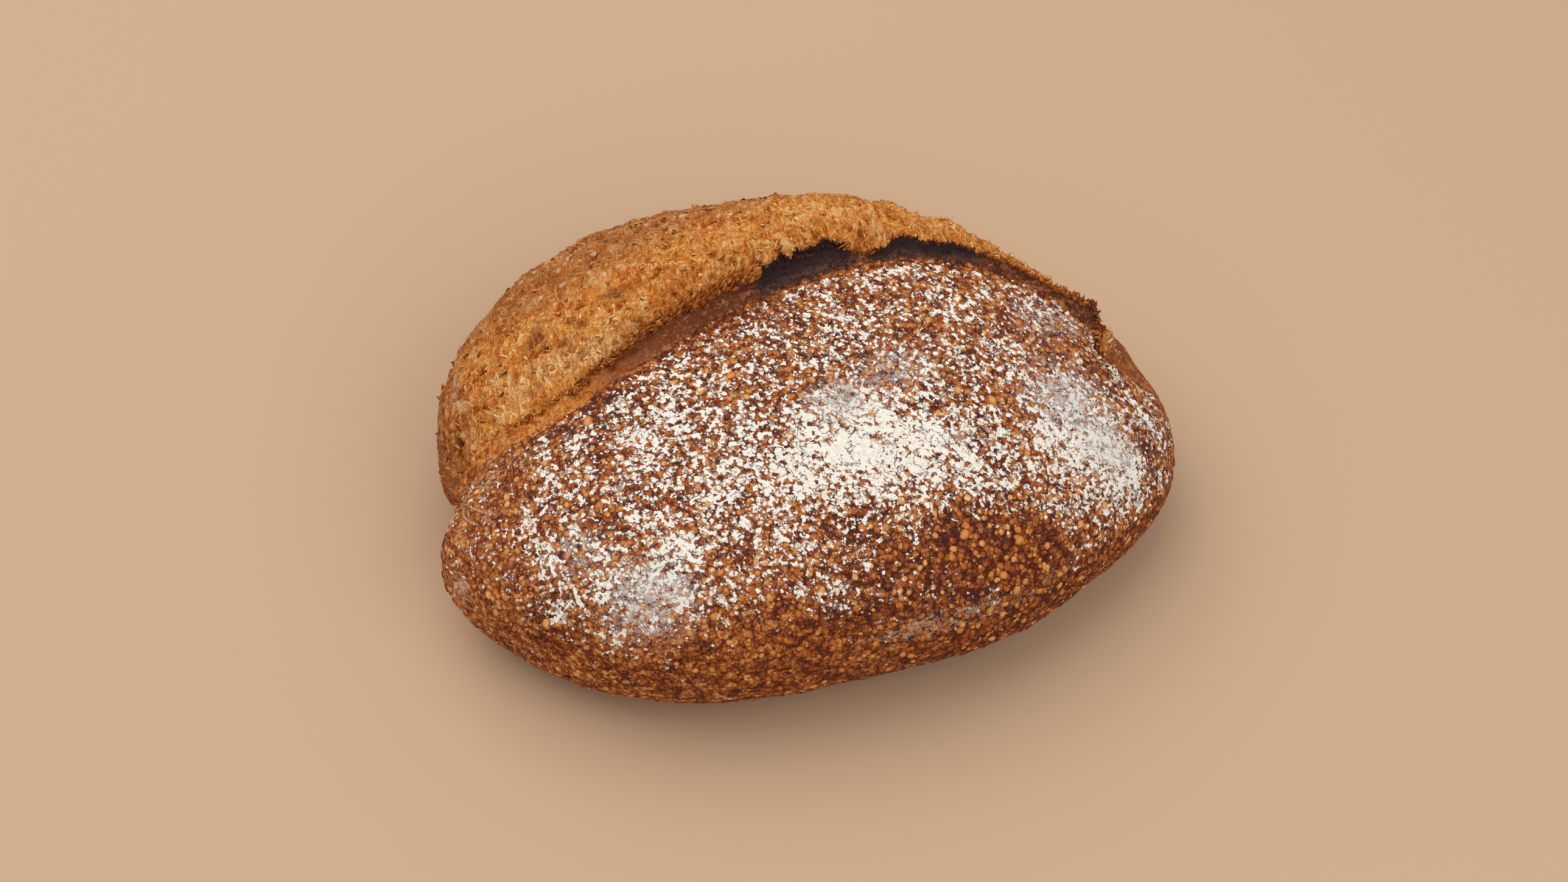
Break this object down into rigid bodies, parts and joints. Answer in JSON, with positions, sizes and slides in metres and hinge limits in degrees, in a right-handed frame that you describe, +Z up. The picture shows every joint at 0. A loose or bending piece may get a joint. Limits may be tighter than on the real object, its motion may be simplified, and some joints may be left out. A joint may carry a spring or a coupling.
{
  "type": "sourdough loaf",
  "caption": "Oval sourdough loaf, torn open along one curved slash into a floured front, a raised dark ear and a golden bloom, flat underneath.",
  "frame": {"origin": "middle of the loaf's plan box, on the surface that it stands on", "axes": "+X along the loaf, its longest way, +Y across it towards the bloom, and +Z up, its shortest way"},
  "size_m": [0.2872, 0.2124, 0.1066],
  "materials": {
    "crust": "baked crust, chestnut brown with golden blisters, dusted with pale flour, dry and matt",
    "torn_crumb": "torn and browned crumb, golden orange, rough and fibrous",
    "flour": "dry flour, cream white, powdery"
  },
  "bodies": {
    "root": {"loaf": "crust"}
  },
  "joints": []
}
